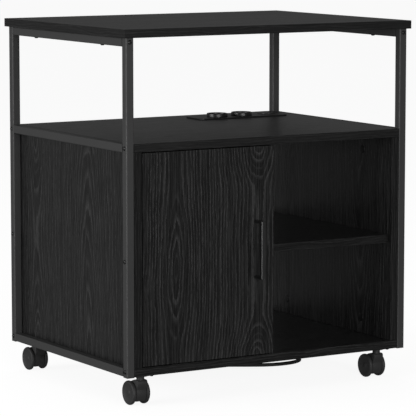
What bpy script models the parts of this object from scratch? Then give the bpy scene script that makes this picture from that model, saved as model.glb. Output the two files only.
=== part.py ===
"""Mobile printer stand: black oak boards in a square tube frame, a cabinet below with one door and one half
that is open front and back, a bay for the printer above, a charging station let into the middle shelf, and
four twin-wheel casters.

Metres, +Z up, front towards -Y. The origin is on the floor, under the middle of the stand without its lead.
"""

import math

import bmesh
import bpy
from mathutils import Matrix, Vector

# Driving dimensions
FRAME_WIDTH = 0.588
FRAME_DEPTH = 0.444
FRAME_HEIGHT = 0.590
CASTER_HEIGHT = 0.0575
TUBE = 0.015  # side of the square steel tube
TUBE_WALL = 0.0012
TUBE_ROUND = 0.0016
BOARD = 0.015  # thickness of every wooden board
BOARD_ROUND = 0.0004
BACK_THICKNESS = 0.005
TOP_OVERHANG = 0.006
SHELF_HEIGHT = 0.4075  # top of the middle shelf above the foot of the frame
INNER_SHELF_HEIGHT = 0.212
GAP = 0.0003  # between pieces that touch

DOOR_SIDE_GAP = 0.0013
DOOR_END_GAP = 0.0016
DOOR_RIGHT = 0.3003  # right edge of the door from the frame's left face
DIVIDER_SET_BACK = 0.002  # from the back of the door
INNER_SHELF_SET_BACK = 0.009  # from the frame's front and rear faces
INNER_SHELF_PLAY = 0.0012
BACK_SET_IN = 0.003

HANDLE_REACH = 0.025
HANDLE_LENGTH = 0.105
HANDLE_WIDTH = 0.0068
HANDLE_DEPTH = 0.0070
HANDLE_LEG = 0.0050
HANDLE_FROM_EDGE = 0.037  # handle's middle from the door's free edge
HANDLE_BOTTOM = 0.155

CUP_RADIUS = 0.0175
CUP_DEPTH = 0.0115
CUP_FROM_EDGE = 0.0235
HINGE_FROM_END = 0.085

PIN_RADIUS = 0.0025
PIN_LENGTH = 0.016
PIN_PLACES = {"front": 0.060, "rear": 0.380}  # from the frame's front face

STATION_WIDTH = 0.195
STATION_DEPTH = 0.060
STATION_CENTRE = (0.4475, 0.362)  # from the frame's left and front faces
FLANGE_THICKNESS = 0.0025
STATION_BODY_HEIGHT = 0.050
STATION_WALL = 0.002
STATION_CUT_MARGIN = 0.0045  # from the rim of the flange to the opening in the shelf
SOCKET_RADIUS = 0.020
SOCKET_RISE = 0.0065
SOCKET_RECESS_RADIUS = 0.0175
SOCKET_RECESS_DEPTH = 0.0155
SOCKET_PLACES = (0.403, 0.458)
USB_PLACE = 0.515
LEAD_PLACE = 0.490

WHEEL_RADIUS = 0.02175
WHEEL_WIDTH = 0.0070
WHEEL_INSIDE = 0.0104  # inner face of a wheel from the caster's middle
HUB_WIDTH = 0.0200  # of the swivelling body between the wheels
HUB_RADIUS = 0.0205
HUB_BOTTOM = 0.0075
HUB_SHOULDER = 0.0505  # height of the body under its swivel
CASTER_TRAIL = 0.015
CASTER_FROM_SIDE = 0.0422
CASTER_FROM_END = 0.0286
CASTER_PLATE = 0.038
AXLE_RADIUS = 0.003
BORE_WALL = 0.0032  # left of a wheel beyond the end of its bore

CORD_RADIUS = 0.0035
COIL_CENTRE = (0.280, 0.380)
COIL_MEAN_RADIUS = 0.0360
COIL_HALF_SECTION = 0.0070
COIL_CHAMFER = 0.002
PLUG_RADIUS = 0.0185
PLUG_FROM_COIL = 0.080  # face of the plug from the coil's centre, to the left

# Places that follow from them
HALF_BOX_DEPTH = (HANDLE_REACH + FRAME_DEPTH + TOP_OVERHANG) / 2
LEFT = -FRAME_WIDTH / 2
FRONT = HANDLE_REACH - HALF_BOX_DEPTH
FOOT = CASTER_HEIGHT
RIGHT = LEFT + FRAME_WIDTH
REAR = FRONT + FRAME_DEPTH
FRAME_TOP = FOOT + FRAME_HEIGHT
PANEL_OUTSIDE = TUBE + GAP
PANEL_INSIDE = PANEL_OUTSIDE + BOARD
SHELF_TOP = FOOT + SHELF_HEIGHT
SHELF_UNDERSIDE = SHELF_TOP - BOARD
CABINET_FLOOR = FOOT + BOARD
BACK_FRONT_FACE = REAR - BACK_SET_IN - BACK_THICKNESS
DOOR_LEFT = PANEL_INSIDE + DOOR_SIDE_GAP
DOOR_BOTTOM = CABINET_FLOOR + DOOR_END_GAP
DOOR_TOP = SHELF_UNDERSIDE - DOOR_END_GAP
DIVIDER_LEFT = FRAME_WIDTH / 2 - BOARD / 2
FLANGE_TOP = SHELF_TOP + GAP + FLANGE_THICKNESS
STATION_FLOOR = FLANGE_TOP - STATION_BODY_HEIGHT
LEAD_HEIGHT = STATION_FLOOR + 0.014


def across(distance):
    """X of a place given from the frame's left face."""
    return LEFT + distance


def back(distance):
    """Y of a place given from the frame's front face."""
    return FRONT + distance


# --- scene and collections ---

for old in list(bpy.data.objects):
    bpy.data.objects.remove(old, do_unlink=True)

parts = bpy.data.collections.new("mobile_printer_stand")
bpy.context.scene.collection.children.link(parts)
cutters = bpy.data.collections.new("cutters")
bpy.context.scene.collection.children.link(cutters)


# --- materials ---

def material(name, grey, roughness, metallic=0.0):
    made = bpy.data.materials.new(name)
    made.use_nodes = True
    shader = made.node_tree.nodes["Principled BSDF"]
    shader.inputs["Base Color"].default_value = (grey, grey, grey, 1.0)
    shader.inputs["Roughness"].default_value = roughness
    shader.inputs["Metallic"].default_value = metallic
    made.diffuse_color = (grey, grey, grey, 1.0)
    return made


BLACK_OAK = material("black_oak", 0.022, 0.55)
BLACK_STEEL = material("black_powder_coated_steel", 0.030, 0.45)
BLACK_PLASTIC = material("black_plastic", 0.014, 0.40)
BLACK_RUBBER = material("black_rubber", 0.012, 0.70)
HARDBOARD = material("black_hardboard", 0.018, 0.65)
PLATED_STEEL = material("plated_steel", 0.55, 0.30, 1.0)


# --- helpers ---

def add_object(name, mesh, finish, location=(0.0, 0.0, 0.0), parent=None):
    """A named sub-part at a world location; it keeps that place when it has a parent."""
    if not mesh.materials:
        mesh.materials.append(finish)
    made = bpy.data.objects.new(name, mesh)
    parts.objects.link(made)
    made.location = location
    if parent is not None:
        made.parent = parent
        made.matrix_parent_inverse = Matrix.Translation(-Vector(parent.location))
    return made


def add_pivot(name, location):
    """An empty on a joint's axis."""
    pivot = bpy.data.objects.new(name, None)
    pivot.empty_display_size = 0.02
    pivot.location = location
    parts.objects.link(pivot)
    return pivot


def mesh_from(bm, name, smooth=False):
    bmesh.ops.recalc_face_normals(bm, faces=bm.faces)
    mesh = bpy.data.meshes.new(name)
    bm.to_mesh(mesh)
    bm.free()
    if smooth:
        mesh.shade_smooth()
        mesh.set_sharp_from_angle(angle=math.radians(35))
    return mesh


def add_box(bm, low, high):
    """Adds a box between two corners to a bmesh, and returns its vertices."""
    low, high = Vector(low), Vector(high)
    made = bmesh.ops.create_cube(bm, size=1.0)["verts"]
    bmesh.ops.scale(bm, vec=high - low, verts=made)
    bmesh.ops.translate(bm, vec=(low + high) / 2, verts=made)
    return made


def box_mesh(name, low, high, round_off=0.0, axis=None, segments=1):
    """A box with its edges rounded: all of them, or only those along one axis."""
    bm = bmesh.new()
    add_box(bm, low, high)
    if round_off:
        edges = list(bm.edges)
        if axis is not None:
            edges = [e for e in edges if abs((e.verts[1].co - e.verts[0].co).normalized()[axis]) > 0.9]
        bmesh.ops.bevel(bm, geom=edges, offset=round_off, segments=segments, profile=0.5, affect="EDGES")
    return mesh_from(bm, name)


def cylinder_mesh(name, radius, low, high, axis="Z", sides=24):
    """A cylinder about the local axis, between two distances along it."""
    bm = bmesh.new()
    turn = {
        "X": Matrix.Rotation(math.pi / 2, 4, "Y"),
        "Y": Matrix.Rotation(-math.pi / 2, 4, "X"),
        "Z": Matrix.Identity(4),
    }[axis]
    middle = turn @ Matrix.Translation((0, 0, (low + high) / 2))
    bmesh.ops.create_cone(
        bm, cap_ends=True, segments=sides, radius1=radius, radius2=radius, depth=high - low, matrix=middle
    )
    return mesh_from(bm, name, smooth=True)


def evaluated_mesh(obj, name):
    """The object's mesh with its modifiers applied."""
    bpy.context.view_layer.update()
    graph = bpy.context.evaluated_depsgraph_get()
    mesh = bpy.data.meshes.new_from_object(obj.evaluated_get(graph))
    mesh.name = name
    return mesh


def turned_mesh(name, profile, sides=24):
    """A solid turned about local Z from (radius, height) points, which run from the top, down the outside."""
    mesh = bpy.data.meshes.new(name + "_profile")
    points = [(radius, 0.0, height) for radius, height in profile]
    mesh.from_pydata(points, [(i, i + 1) for i in range(len(points) - 1)], [])
    blank = bpy.data.objects.new(name + "_profile", mesh)
    parts.objects.link(blank)
    screw = blank.modifiers.new("turn", "SCREW")
    screw.steps = sides
    screw.render_steps = sides
    screw.use_merge_vertices = True
    screw.merge_threshold = 0.00002
    turned = evaluated_mesh(blank, name)
    bpy.data.objects.remove(blank, do_unlink=True)
    bm = bmesh.new()
    bm.from_mesh(turned)
    bmesh.ops.remove_doubles(bm, verts=bm.verts, dist=0.00001)
    return mesh_from(bm, name, smooth=True)


def outline_mesh(name, loops, thickness):
    """A flat outline in local XY with a thickness centred on local Z; later loops are holes in the first."""
    curve = bpy.data.curves.new(name, "CURVE")
    curve.dimensions = "2D"
    curve.fill_mode = "BOTH"
    curve.extrude = thickness / 2
    for loop in loops:
        spline = curve.splines.new("POLY")
        spline.points.add(len(loop) - 1)
        spline.use_cyclic_u = True
        for point, (x, y) in zip(spline.points, loop):
            point.co = (x, y, 0.0, 1.0)
    flat = bpy.data.objects.new(name, curve)
    parts.objects.link(flat)
    mesh = evaluated_mesh(flat, name)
    bpy.data.objects.remove(flat, do_unlink=True)
    bm = bmesh.new()
    bm.from_mesh(mesh)
    bmesh.ops.remove_doubles(bm, verts=bm.verts, dist=0.00001)
    return mesh_from(bm, name)


def rounded_rectangle(width, depth, radius, steps=3):
    """Points of a rectangle about the origin whose corners are arcs."""
    points = []
    for corner, (sx, sy) in enumerate(((1, 1), (-1, 1), (-1, -1), (1, -1))):
        cx, cy = sx * (width / 2 - radius), sy * (depth / 2 - radius)
        for step in range(steps + 1):
            angle = math.pi / 2 * (corner + step / steps)
            points.append((cx + radius * math.cos(angle), cy + radius * math.sin(angle)))
    return points


def moved(mesh, matrix):
    mesh.transform(matrix)
    return mesh


def cutter(name, mesh, location=(0.0, 0.0, 0.0)):
    made = bpy.data.objects.new(name, mesh)
    made.location = location
    made.hide_render = True
    made.display_type = "WIRE"
    cutters.objects.link(made)
    return made


def boolean(obj, other, operation):
    modifier = obj.modifiers.new(other.name, "BOOLEAN")
    modifier.operation = operation
    modifier.solver = "EXACT"
    modifier.object = other


def cut(obj, name, mesh, location=(0.0, 0.0, 0.0)):
    boolean(obj, cutter(name, mesh, location), "DIFFERENCE")


def joined_mesh(name, meshes, holes=()):
    """One closed mesh: the union of the meshes, less the holes."""
    base = bpy.data.objects.new(name + "_base", meshes[0])
    parts.objects.link(base)
    helpers = []
    for operation, group in (("UNION", meshes[1:]), ("DIFFERENCE", holes)):
        for mesh in group:
            helpers.append(cutter(f"{name}_{len(helpers)}", mesh))
            boolean(base, helpers[-1], operation)
    result = evaluated_mesh(base, name)
    for helper in [base] + helpers:
        bpy.data.objects.remove(helper, do_unlink=True)
    result.shade_smooth()
    result.set_sharp_from_angle(angle=math.radians(35))
    return result


def board(name, x, y, z, finish=BLACK_OAK, parent=None, origin=None):
    """A board between two places along each axis."""
    low, high = Vector((x[0], y[0], z[0])), Vector((x[1], y[1], z[1]))
    origin = (low + high) / 2 if origin is None else Vector(origin)
    mesh = box_mesh(name, low - origin, high - origin, BOARD_ROUND)
    return add_object(name, mesh, finish, origin, parent)


# --- steel frame ---

def tube_mesh(name, length):
    """Square steel tube, open at both ends, along local Z."""
    inside = TUBE - 2 * TUBE_WALL
    loops = [
        rounded_rectangle(TUBE, TUBE, TUBE_ROUND, 2),
        rounded_rectangle(inside, inside, TUBE_ROUND - TUBE_WALL, 1),
    ]
    return outline_mesh(name, loops, length)


def make_frame():
    post = tube_mesh("post_tube", FRAME_HEIGHT)
    rail_length = FRAME_DEPTH - 2 * TUBE - 2 * GAP
    rail = moved(tube_mesh("rail_tube", rail_length), Matrix.Rotation(math.pi / 2, 4, "X"))
    rail_heights = {
        "upper": FRAME_HEIGHT - TUBE / 2,
        "middle": SHELF_HEIGHT - TUBE / 2,
        "lower": TUBE / 2,
    }
    for side, x in (("left", LEFT + TUBE / 2), ("right", RIGHT - TUBE / 2)):
        for end, y in (("front", FRONT + TUBE / 2), ("rear", REAR - TUBE / 2)):
            add_object(f"{end}_{side}_post", post, BLACK_STEEL, (x, y, FOOT + FRAME_HEIGHT / 2))
        for level, height in rail_heights.items():
            add_object(f"{level}_{side}_rail", rail, BLACK_STEEL, (x, FRONT + FRAME_DEPTH / 2, FOOT + height))


# --- boards ---

def make_top_board():
    board(
        "top_board",
        (LEFT - TOP_OVERHANG, RIGHT + TOP_OVERHANG),
        (FRONT - TOP_OVERHANG, REAR + TOP_OVERHANG),
        (FRAME_TOP + GAP, FRAME_TOP + GAP + BOARD),
    )


def make_carcass():
    between_posts = (LEFT + PANEL_OUTSIDE, RIGHT - PANEL_OUTSIDE)
    full_depth = (FRONT, REAR)
    panel_height = (CABINET_FLOOR + GAP, SHELF_UNDERSIDE - GAP)
    board("bottom_panel", between_posts, full_depth, (FOOT, CABINET_FLOOR))
    shelf = board("middle_shelf", between_posts, full_depth, (SHELF_UNDERSIDE, SHELF_TOP))
    left = (LEFT + PANEL_OUTSIDE, LEFT + PANEL_INSIDE)
    right = (RIGHT - PANEL_INSIDE, RIGHT - PANEL_OUTSIDE)
    board("left_side_panel", left, full_depth, panel_height)
    right_panel = board("right_side_panel", right, full_depth, panel_height)
    divider_x = (across(DIVIDER_LEFT), across(DIVIDER_LEFT + BOARD))
    divider_y = (back(BOARD + DIVIDER_SET_BACK), REAR)
    divider = board("centre_divider", divider_x, divider_y, panel_height)

    behind_door = (LEFT + PANEL_INSIDE + GAP, across(DIVIDER_LEFT) - GAP)
    back_y = (BACK_FRONT_FACE, BACK_FRONT_FACE + BACK_THICKNESS)
    board("back_panel", behind_door, back_y, panel_height, HARDBOARD)

    half_x = STATION_WIDTH / 2 - STATION_CUT_MARGIN
    half_y = STATION_DEPTH / 2 - STATION_CUT_MARGIN
    opening = box_mesh("station_opening", (-half_x, -half_y, -2 * BOARD), (half_x, half_y, BOARD))
    cut(shelf, "station_opening", opening, (across(STATION_CENTRE[0]), back(STATION_CENTRE[1]), SHELF_TOP))
    make_inner_shelf(divider, right_panel)


def make_inner_shelf(divider, right_panel):
    """The loose shelf of the open half, and the four pins that carry it."""
    shelf_x = (across(DIVIDER_LEFT + BOARD + GAP), RIGHT - PANEL_INSIDE - INNER_SHELF_PLAY)
    shelf_y = (back(INNER_SHELF_SET_BACK), REAR - INNER_SHELF_SET_BACK)
    shelf_top = FOOT + INNER_SHELF_HEIGHT
    board("inner_shelf", shelf_x, shelf_y, (shelf_top - BOARD, shelf_top))

    pin_height = shelf_top - BOARD - GAP - PIN_RADIUS
    pin = cylinder_mesh("shelf_pin", PIN_RADIUS, -PIN_LENGTH / 2, PIN_LENGTH / 2, "X", 16)
    hole_depth = PIN_LENGTH / 2 + 0.001
    hole = cylinder_mesh("pin_hole", PIN_RADIUS + GAP, -hole_depth, hole_depth, "X", 16)
    walls = (("left", across(DIVIDER_LEFT + BOARD), divider), ("right", RIGHT - PANEL_INSIDE, right_panel))
    for side, x, wall in walls:
        for end, place in PIN_PLACES.items():
            add_object(f"shelf_pin_{end}_{side}", pin, PLATED_STEEL, (x, back(place), pin_height))
            cut(wall, f"pin_hole_{end}_{side}", hole, (x, back(place), pin_height))


# --- door ---

def make_door():
    """The door, what is screwed to it, and the hinge arms on the side panel."""
    pivot = Vector((across(DOOR_LEFT), FRONT, (DOOR_BOTTOM + DOOR_TOP) / 2))
    door_x = (across(DOOR_LEFT), across(DOOR_RIGHT))
    door = board("door", door_x, (FRONT, back(BOARD)), (DOOR_BOTTOM, DOOR_TOP), origin=pivot)
    make_handle(door, pivot)
    cup, arm = cup_mesh(), arm_mesh()
    pocket = cylinder_mesh("cup_pocket", CUP_RADIUS + 2 * GAP, -CUP_DEPTH - GAP, 0.01, "Y", 24)
    for level, height in (("lower", DOOR_BOTTOM + HINGE_FROM_END), ("upper", DOOR_TOP - HINGE_FROM_END)):
        place = (across(DOOR_LEFT + CUP_FROM_EDGE), back(BOARD), height)
        add_object(f"{level}_hinge_cup", cup, PLATED_STEEL, place, door)
        cut(door, f"{level}_cup_pocket", pocket, place)
        add_object(f"{level}_hinge_arm", arm, PLATED_STEEL, (across(PANEL_INSIDE) + GAP, FRONT, height))


def cup_mesh():
    """Hinge cup, sunk in the door's back, with the flange that its two screws go through."""
    wall = 0.0012
    lip = 0.0014
    inner = CUP_RADIUS - wall
    profile = [(0.0, -CUP_DEPTH + wall), (inner, -CUP_DEPTH + wall), (inner, GAP + lip)]
    profile += [(CUP_RADIUS + 0.002, GAP + lip), (CUP_RADIUS + 0.002, GAP), (CUP_RADIUS, GAP)]
    profile += [(CUP_RADIUS, -CUP_DEPTH), (0.0, -CUP_DEPTH)]
    cup = turned_mesh("hinge_cup", profile, 24)
    ears = outline_mesh("ears", [rounded_rectangle(0.014, 0.062, 0.0065, 4)], lip)
    moved(ears, Matrix.Translation((0.0, 0.0, GAP + lip / 2)))
    mouth = cylinder_mesh("mouth", inner, -0.004, 0.004, "Z", 24)
    return moved(joined_mesh("hinge_cup", [ears, cup], [mouth]), Matrix.Rotation(-math.pi / 2, 4, "X"))


def arm_mesh():
    """Hinge arm on its mounting plate; local X runs off the side panel, local Y from the front of the door."""
    plate = box_mesh("plate", (0.0, 0.036, -0.025), (0.002, 0.064, 0.025), 0.003, 0, 2)
    base = box_mesh("base", (0.001, 0.024, -0.008), (0.0075, 0.080, 0.008), 0.001)
    arm = box_mesh("arm", (0.006, 0.0185, -0.0095), (0.0125, 0.078, 0.0095), 0.002)
    return joined_mesh("hinge_arm", [base, plate, arm])


def make_handle(door, pivot):
    """Slim upright bar on two legs, and the two screws that hold it through the door."""
    middle = across(DOOR_RIGHT - HANDLE_FROM_EDGE)
    bottom = FOOT + HANDLE_BOTTOM
    bar_back = -HANDLE_REACH + HANDLE_DEPTH
    half = HANDLE_WIDTH / 2
    bar = box_mesh("bar", (-half, -HANDLE_REACH, 0.0), (half, bar_back, HANDLE_LENGTH), 0.0012, None, 2)
    legs = []
    screw_sink = 0.004
    screws = []
    for foot in (0.0, HANDLE_LENGTH - HANDLE_LEG):
        leg = ((-half, bar_back - 0.003, foot), (half, -GAP, foot + HANDLE_LEG))
        legs.append(box_mesh("leg", *leg, 0.0006))
        screws.append(foot + HANDLE_LEG / 2)
    bores = [moved(cylinder_mesh("bore", 0.0018, -screw_sink, 0.01, "Y", 12), Matrix.Translation((0, 0, z)))
             for z in screws]
    mesh = joined_mesh("door_handle", [bar] + legs, bores)
    add_object("door_handle", mesh, BLACK_STEEL, (middle, FRONT, bottom), door)

    head = [(0.0, 0.0022), (0.0018, 0.0022), (0.0034, 0.0014), (0.0040, GAP), (0.0015, GAP)]
    head += [(0.0015, -BOARD - screw_sink + GAP), (0.0, -BOARD - screw_sink + GAP)]
    screw = moved(turned_mesh("handle_screw", head, 16), Matrix.Rotation(-math.pi / 2, 4, "X"))
    hole = cylinder_mesh("handle_hole", 0.0019, -0.03, 0.03, "Y", 12)
    for level, z in zip(("lower", "upper"), screws):
        place = (middle, back(BOARD), bottom + z)
        add_object(f"{level}_handle_screw", screw, PLATED_STEEL, place, door)
        cut(door, f"{level}_handle_hole", hole, place)


# --- charging station ---

def make_station():
    centre = Vector((across(STATION_CENTRE[0]), back(STATION_CENTRE[1]), FLANGE_TOP))
    half_x, half_y = STATION_WIDTH / 2 - 0.005, STATION_DEPTH / 2 - 0.005
    wall = STATION_WALL
    flange = outline_mesh("flange", [rounded_rectangle(STATION_WIDTH, STATION_DEPTH, 0.006)], FLANGE_THICKNESS)
    moved(flange, Matrix.Translation((0.0, 0.0, -FLANGE_THICKNESS / 2)))
    body = box_mesh("body", (-half_x, -half_y, -STATION_BODY_HEIGHT), (half_x, half_y, -0.001))
    room_low = (-half_x + wall, -half_y + wall, -STATION_BODY_HEIGHT - 0.01)
    room = box_mesh("room", room_low, (half_x - wall, half_y - wall, -FLANGE_THICKNESS))
    lead = cylinder_mesh("lead", 0.0052, 0.0, 0.02, "Y", 16)
    moved(lead, Matrix.Translation((across(LEAD_PLACE) - centre.x, half_y - 0.01, LEAD_HEIGHT - FLANGE_TOP)))
    holes = [room, lead]
    for place in SOCKET_PLACES:
        hole = cylinder_mesh("socket_hole", SOCKET_RADIUS - 0.0008, -0.01, 0.01, "Z", 32)
        holes.append(moved(hole, Matrix.Translation((across(place) - centre.x, 0.0, 0.0))))
    usb_half = 0.0152
    usb = box_mesh("usb_hole", (-usb_half, -0.0102, -0.01), (usb_half, 0.0102, 0.01))
    holes.append(moved(usb, Matrix.Translation((across(USB_PLACE) - centre.x, 0.0, 0.0))))
    housing = joined_mesh("station_housing", [body, flange], holes)
    add_object("station_housing", housing, BLACK_PLASTIC, centre)

    inset = wall + GAP
    cover_low = (-half_x + inset, -half_y + inset, -STATION_BODY_HEIGHT)
    cover = box_mesh("station_cover", cover_low, (half_x - inset, half_y - inset, wall - STATION_BODY_HEIGHT))
    add_object("station_cover", cover, BLACK_PLASTIC, centre)

    socket = socket_mesh()
    for side, place in zip(("left", "right"), SOCKET_PLACES):
        add_object(f"{side}_socket", socket, BLACK_PLASTIC, (across(place), centre.y, FLANGE_TOP))
    make_usb_module((across(USB_PLACE), centre.y, FLANGE_TOP))

    relief_start = half_y - wall - GAP
    relief = [(0.0, 0.034), (0.0042, 0.034), (0.0060, wall + 2 * GAP + 0.002), (0.0070, wall + 2 * GAP)]
    relief += [(0.0049, wall + 2 * GAP), (0.0049, 0.0), (0.0, 0.0)]
    mesh = moved(turned_mesh("strain_relief", relief, 16), Matrix.Rotation(-math.pi / 2, 4, "X"))
    place = (across(LEAD_PLACE), centre.y + relief_start, LEAD_HEIGHT)
    add_object("strain_relief", mesh, BLACK_RUBBER, place)


def socket_mesh():
    """Socket insert: a cup whose lip stands on the flange."""
    floor = SOCKET_RISE - SOCKET_RECESS_DEPTH
    neck = SOCKET_RADIUS - 0.0012
    profile = [(0.0, floor), (SOCKET_RECESS_RADIUS, floor), (SOCKET_RECESS_RADIUS, SOCKET_RISE)]
    profile += [(SOCKET_RADIUS - 0.0008, SOCKET_RISE), (SOCKET_RADIUS, SOCKET_RISE - 0.0010)]
    profile += [(SOCKET_RADIUS, GAP), (neck, GAP), (neck, floor - 0.0025), (0.0, floor - 0.0025)]
    return turned_mesh("socket_insert", profile, 28)


def make_usb_module(place):
    """Small block with two ports, set in the flange."""
    block = box_mesh("usb_block", (-0.0148, -0.0098, -0.012), (0.0148, 0.0098, 0.0010), 0.0006)
    ports = []
    for side in (-1, 1):
        middle = side * 0.0072
        port = box_mesh("port", (middle - 0.0030, -0.0064, -0.008), (middle + 0.0030, 0.0064, 0.01))
        ports.append(port)
    add_object("usb_module", joined_mesh("usb_module", [block], ports), BLACK_PLASTIC, place)


# --- mains lead ---

FLOOR_HEIGHT = CORD_RADIUS + GAP
LEAD_ROUTE = [  # from the frame's left face, from its front face, height above the floor
    (0.490, 0.4190, LEAD_HEIGHT),
    (0.490, 0.4360, LEAD_HEIGHT),
    (0.490, 0.4520, LEAD_HEIGHT),
    (0.490, 0.4675, LEAD_HEIGHT - 0.0042),
    (0.490, 0.4788, LEAD_HEIGHT - 0.0155),
    (0.490, 0.4830, LEAD_HEIGHT - 0.0310),
    (0.490, 0.4836, 0.330),
    (0.490, 0.4836, 0.220),
    (0.490, 0.4834, 0.110),
    (0.490, 0.4830, 0.0358),
    (0.490, 0.4787, 0.0198),
    (0.490, 0.4670, 0.0081),
    (0.490, 0.4510, FLOOR_HEIGHT),
    (0.491, 0.4000, FLOOR_HEIGHT),
    (0.5025, 0.3460, FLOOR_HEIGHT),
    (0.5150, 0.2900, FLOOR_HEIGHT),
    (0.5180, 0.2570, FLOOR_HEIGHT),
    (0.5110, 0.2350, FLOOR_HEIGHT),
    (0.4910, 0.2210, FLOOR_HEIGHT),
    (0.4620, 0.2165, FLOOR_HEIGHT),
    (0.4310, 0.2220, FLOOR_HEIGHT),
    (0.4030, 0.2360, FLOOR_HEIGHT),
    (0.3770, 0.2515, FLOOR_HEIGHT),
    (0.3560, 0.2635, FLOOR_HEIGHT),
    (0.3355, 0.2775, FLOOR_HEIGHT),
    (0.3205, 0.2940, FLOOR_HEIGHT),
    (0.3130, 0.3105, FLOOR_HEIGHT),
    (0.3110, 0.3274, FLOOR_HEIGHT),
    (0.3144, 0.3475, FLOOR_HEIGHT),
]


def smooth_route(points, spacing):
    """Points at an even spacing along the smooth curve through the route's own points."""
    points = [Vector(p) for p in points]
    ends = [2 * points[0] - points[1]] + points + [2 * points[-1] - points[-2]]
    fine = []
    for a, b, c, d in zip(ends, ends[1:], ends[2:], ends[3:]):
        for step in range(20):
            fine.append(spline_point(a, b, c, d, step / 20))
    fine.append(points[-1])
    lengths = [0.0]
    for one, two in zip(fine, fine[1:]):
        lengths.append(lengths[-1] + (two - one).length)
    count = math.ceil(lengths[-1] / spacing)
    result, i = [], 0
    for step in range(count + 1):
        goal = lengths[-1] * step / count
        while i < len(fine) - 2 and lengths[i + 1] < goal:
            i += 1
        share = (goal - lengths[i]) / (lengths[i + 1] - lengths[i])
        place = fine[i].lerp(fine[i + 1], share)
        place.z = max(place.z, FLOOR_HEIGHT)
        result.append(place)
    return result


def spline_point(a, b, c, d, t):
    """Centripetal Catmull-Rom point between b and c."""
    t0, t1 = 0.0, (b - a).length ** 0.5
    t2 = t1 + (c - b).length ** 0.5
    t3 = t2 + (d - c).length ** 0.5
    u = t1 + (t2 - t1) * t
    a1 = a * ((t1 - u) / (t1 - t0)) + b * ((u - t0) / (t1 - t0))
    a2 = b * ((t2 - u) / (t2 - t1)) + c * ((u - t1) / (t2 - t1))
    a3 = c * ((t3 - u) / (t3 - t2)) + d * ((u - t2) / (t3 - t2))
    b1 = a1 * ((t2 - u) / (t2 - t0)) + a2 * ((u - t0) / (t2 - t0))
    b2 = a2 * ((t3 - u) / (t3 - t1)) + a3 * ((u - t1) / (t3 - t1))
    return b1 * ((t2 - u) / (t2 - t1)) + b2 * ((u - t1) / (t2 - t1))


def make_lead():
    route = [(across(x), back(y), z) for x, y, z in LEAD_ROUTE]
    curve = bpy.data.curves.new("mains_lead", "CURVE")
    curve.dimensions = "3D"
    curve.bevel_depth = CORD_RADIUS
    curve.bevel_resolution = 2
    curve.use_fill_caps = True
    points = smooth_route(route, 6 * CORD_RADIUS)
    spline = curve.splines.new("POLY")
    spline.points.add(len(points) - 1)
    for point, place in zip(spline.points, points):
        point.co = (*place, 1.0)
    curve.materials.append(BLACK_RUBBER)
    parts.objects.link(bpy.data.objects.new("mains_lead", curve))

    outer, inner = COIL_MEAN_RADIUS + COIL_HALF_SECTION, COIL_MEAN_RADIUS - COIL_HALF_SECTION
    height = GAP + 2 * COIL_HALF_SECTION
    profile = [(inner, height), (outer - COIL_CHAMFER, height), (outer, height - COIL_CHAMFER), (outer, GAP)]
    profile += [(inner, GAP), (inner, height)]
    coil = turned_mesh("lead_coil", profile, 28)
    add_object("lead_coil", coil, BLACK_RUBBER, (across(COIL_CENTRE[0]), back(COIL_CENTRE[1]), 0.0))


def make_plug():
    """Round two-pin plug on its side, pins along local -X, with the lead's sleeve towards the coil."""
    profile = [(0.0, 0.0), (0.0165, 0.0), (PLUG_RADIUS, 0.002), (PLUG_RADIUS, 0.012), (0.0160, 0.018)]
    profile += [(0.0095, 0.034), (0.0065, 0.038), (0.0042, 0.062), (0.0, 0.062)]
    along = [(radius, -length) for radius, length in profile]
    body = turned_mesh("plug_body", along, 20)
    pins = []
    for side in (-1, 1):
        pin = cylinder_mesh("pin", 0.0024, -0.002, 0.019, "Z", 12)
        pins.append(moved(pin, Matrix.Translation((0.0, side * 0.0095, 0.0))))
    mesh = moved(joined_mesh("mains_plug", [body] + pins), Matrix.Rotation(-math.pi / 2, 4, "Y"))
    outer_turn = back(COIL_CENTRE[1]) + COIL_MEAN_RADIUS + CORD_RADIUS
    place = (across(COIL_CENTRE[0]) - PLUG_FROM_COIL, outer_turn, PLUG_RADIUS + GAP)
    add_object("mains_plug", mesh, BLACK_RUBBER, place)


# --- casters ---

def wheel_mesh(name, side):
    """Thin wheel with a blind bore; its origin is where its axis meets the caster's middle plane."""
    rim, width = WHEEL_RADIUS, WHEEL_WIDTH
    bore, bore_end = AXLE_RADIUS + GAP, WHEEL_WIDTH - BORE_WALL
    profile = [(0.0, width - 0.0014), (0.0150, width - 0.0008), (0.0175, width), (0.0203, width - 0.0006)]
    profile += [(rim, width - 0.0024), (rim, 0.0022), (0.0207, 0.0006), (0.0190, 0.0)]
    profile += [(bore, 0.0), (bore, bore_end), (0.0, bore_end)]
    mesh = turned_mesh(name, profile, 24)
    moved(mesh, Matrix.Translation((0.0, 0.0, WHEEL_INSIDE)))
    return moved(mesh, Matrix.Rotation(side * math.pi / 2, 4, "Y"))


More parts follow.
